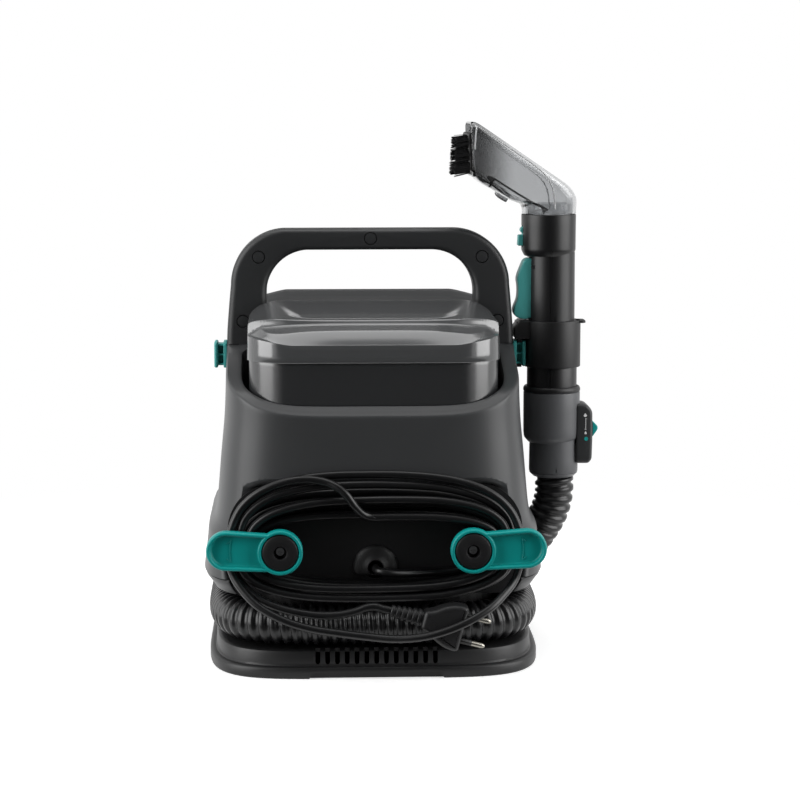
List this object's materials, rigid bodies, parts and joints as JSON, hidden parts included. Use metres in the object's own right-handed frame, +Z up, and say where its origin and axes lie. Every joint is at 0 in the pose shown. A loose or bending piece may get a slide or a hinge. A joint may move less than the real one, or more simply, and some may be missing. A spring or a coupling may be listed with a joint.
{
  "type": "spot extractor",
  "caption": "Portable spot extractor with a carry arch, lift-out clean and dirty tanks, a ribbed hose wound in the base, a side-clipped hand wand and a lead on turning hooks.",
  "frame": {"origin": "middle of the base on the floor it stands on", "axes": "+Z up, -Y towards the cord side with the wrap hooks, +X towards the side that carries the wand"},
  "size_m": [0.3134, 0.3315, 0.4106],
  "materials": {
    "body_plastic": "semi-gloss moulded",
    "dark_plastic": "semi-gloss moulded",
    "black_plastic": "fine-grained moulded",
    "rubber": "matt",
    "hose_plastic": "ribbed, semi-gloss",
    "lead_pvc": "smooth flexible PVC",
    "teal_plastic": "satin moulded",
    "pale_teal_plastic": "satin moulded",
    "clear_plastic": "clear, lightly smoked",
    "smoked_plastic": "smoked transparent",
    "steel": "plated",
    "light_metal": "pressed",
    "plug_brass": "nickel-washed"
  },
  "bodies": {
    "body": {"base_pan": "black_plastic", "rubber_feet": "rubber", "hose_core": "black_plastic", "lower_shell": "dark_plastic", "main_shell": "body_plastic", "tank_deck": "dark_plastic", "centre_spine": "body_plastic", "cord_panel": "black_plastic", "cord_gland": "black_plastic", "hook_post_left": "black_plastic", "hook_post_right": "black_plastic", "hook_screws": "steel", "handle_rear": "dark_plastic", "handle_front": "dark_plastic", "handle_plugs": "black_plastic", "side_stud_left": "pale_teal_plastic", "side_stud_right": "pale_teal_plastic", "motor_can": "steel", "motor_bearings": "steel", "fan_housing": "black_plastic", "water_pump": "black_plastic", "suction_duct": "black_plastic", "switch_box": "black_plastic", "hose_port": "black_plastic", "suction_hose": "hose_plastic", "hose_riser": "hose_plastic", "cord_lead": "lead_pvc", "cord_hank": "lead_pvc", "cord_tail": "lead_pvc", "plug_relief": "black_plastic", "plug_body": "black_plastic", "plug_pins": "plug_brass"},
    "left_hook": {"cord_hook_left": "teal_plastic"},
    "right_hook": {"cord_hook_right": "teal_plastic"},
    "rotor": {"motor_shaft": "steel", "fan_impeller": "light_metal"},
    "button": {"power_button": "pale_teal_plastic"},
    "clean_tank_body": {"clean_tank": "clear_plastic", "tank_valve_seat": "black_plastic", "valve_spring": "steel"},
    "clean_lid_body": {"clean_lid": "clear_plastic"},
    "valve": {"tank_valve": "pale_teal_plastic"},
    "dirty_tank_body": {"dirty_tank": "smoked_plastic", "inlet_pipe": "black_plastic"},
    "dirty_lid_body": {"dirty_lid": "dark_plastic", "float_cage": "black_plastic"},
    "float": {"float_ball": "pale_teal_plastic"},
    "wand": {"wand_tube": "black_plastic", "wand_bracket": "black_plastic", "hose_cuff": "body_plastic", "cuff_ring": "black_plastic", "control_box": "dark_plastic", "trigger_pin": "steel"},
    "trigger_lever": {"trigger": "pale_teal_plastic"},
    "latch": {"nozzle_latch": "pale_teal_plastic"},
    "slider": {"flow_slider": "teal_plastic"},
    "nozzle_head": {"nozzle": "clear_plastic", "nozzle_seal": "rubber", "spray_tip": "black_plastic", "brush": "black_plastic"}
  },
  "joints": [
    {"name": "hook_left_turn", "type": "hinge", "parent": "body", "child": "left_hook", "pos_m": [-0.0712, -0.155, 0.097], "axis": [0, 1, 0], "range_deg": [0, 180]},
    {"name": "hook_right_turn", "type": "hinge", "parent": "body", "child": "right_hook", "pos_m": [0.0712, -0.155, 0.097], "axis": [0, -1, 0], "range_deg": [0, 180]},
    {"name": "rotor_spin", "type": "hinge", "parent": "body", "child": "rotor", "pos_m": [0, 0.012, 0.05], "axis": [0, 0, 1], "continuous": true},
    {"name": "power_press", "type": "slide", "parent": "body", "child": "button", "axis": [0, 0, -1], "range_m": [0, 0.0025], "stiffness_N_per_m": 800, "springref_m": -0.001},
    {"name": "clean_tank_lift", "type": "slide", "parent": "body", "child": "clean_tank_body", "axis": [0, 0, 1], "range_m": [0, 0.06]},
    {"name": "clean_lid_lift", "type": "slide", "parent": "clean_tank_body", "child": "clean_lid_body", "axis": [0, 0, 1], "range_m": [0, 0.025]},
    {"name": "valve_lift", "type": "slide", "parent": "clean_tank_body", "child": "valve", "axis": [0, 0, 1], "range_m": [0, 0.004], "stiffness_N_per_m": 150, "springref_m": -0.004, "deforming": ["valve_spring"]},
    {"name": "dirty_tank_lift", "type": "slide", "parent": "body", "child": "dirty_tank_body", "axis": [0, 0, 1], "range_m": [0, 0.06]},
    {"name": "dirty_lid_lift", "type": "slide", "parent": "dirty_tank_body", "child": "dirty_lid_body", "axis": [0, 0, 1], "range_m": [0, 0.025]},
    {"name": "float_rise", "type": "slide", "parent": "dirty_lid_body", "child": "float", "axis": [0, 0, 1], "range_m": [0, 0.014]},
    {"name": "wand_unclip", "type": "slide", "parent": "body", "child": "wand", "axis": [0, 1, 0], "range_m": [0, 0.05], "deforming": ["hose_riser"]},
    {"name": "trigger_squeeze", "type": "hinge", "parent": "wand", "child": "trigger_lever", "pos_m": [0.1285, 0, 0.296], "axis": [0, -1, 0], "range_deg": [0, 9], "stiffness_Nm_per_rad": 0.5, "springref_deg": -8.59},
    {"name": "latch_press", "type": "slide", "parent": "wand", "child": "latch", "axis": [1, 0, 0], "range_m": [0, 0.0025], "stiffness_N_per_m": 600, "springref_m": -0.001},
    {"name": "slider_shift", "type": "slide", "parent": "wand", "child": "slider", "axis": [0, 0, 1], "range_m": [-0.01, 0.004]},
    {"name": "nozzle_pull", "type": "slide", "parent": "wand", "child": "nozzle_head", "axis": [0, 0, 1], "range_m": [0, 0.03]}
  ]
}
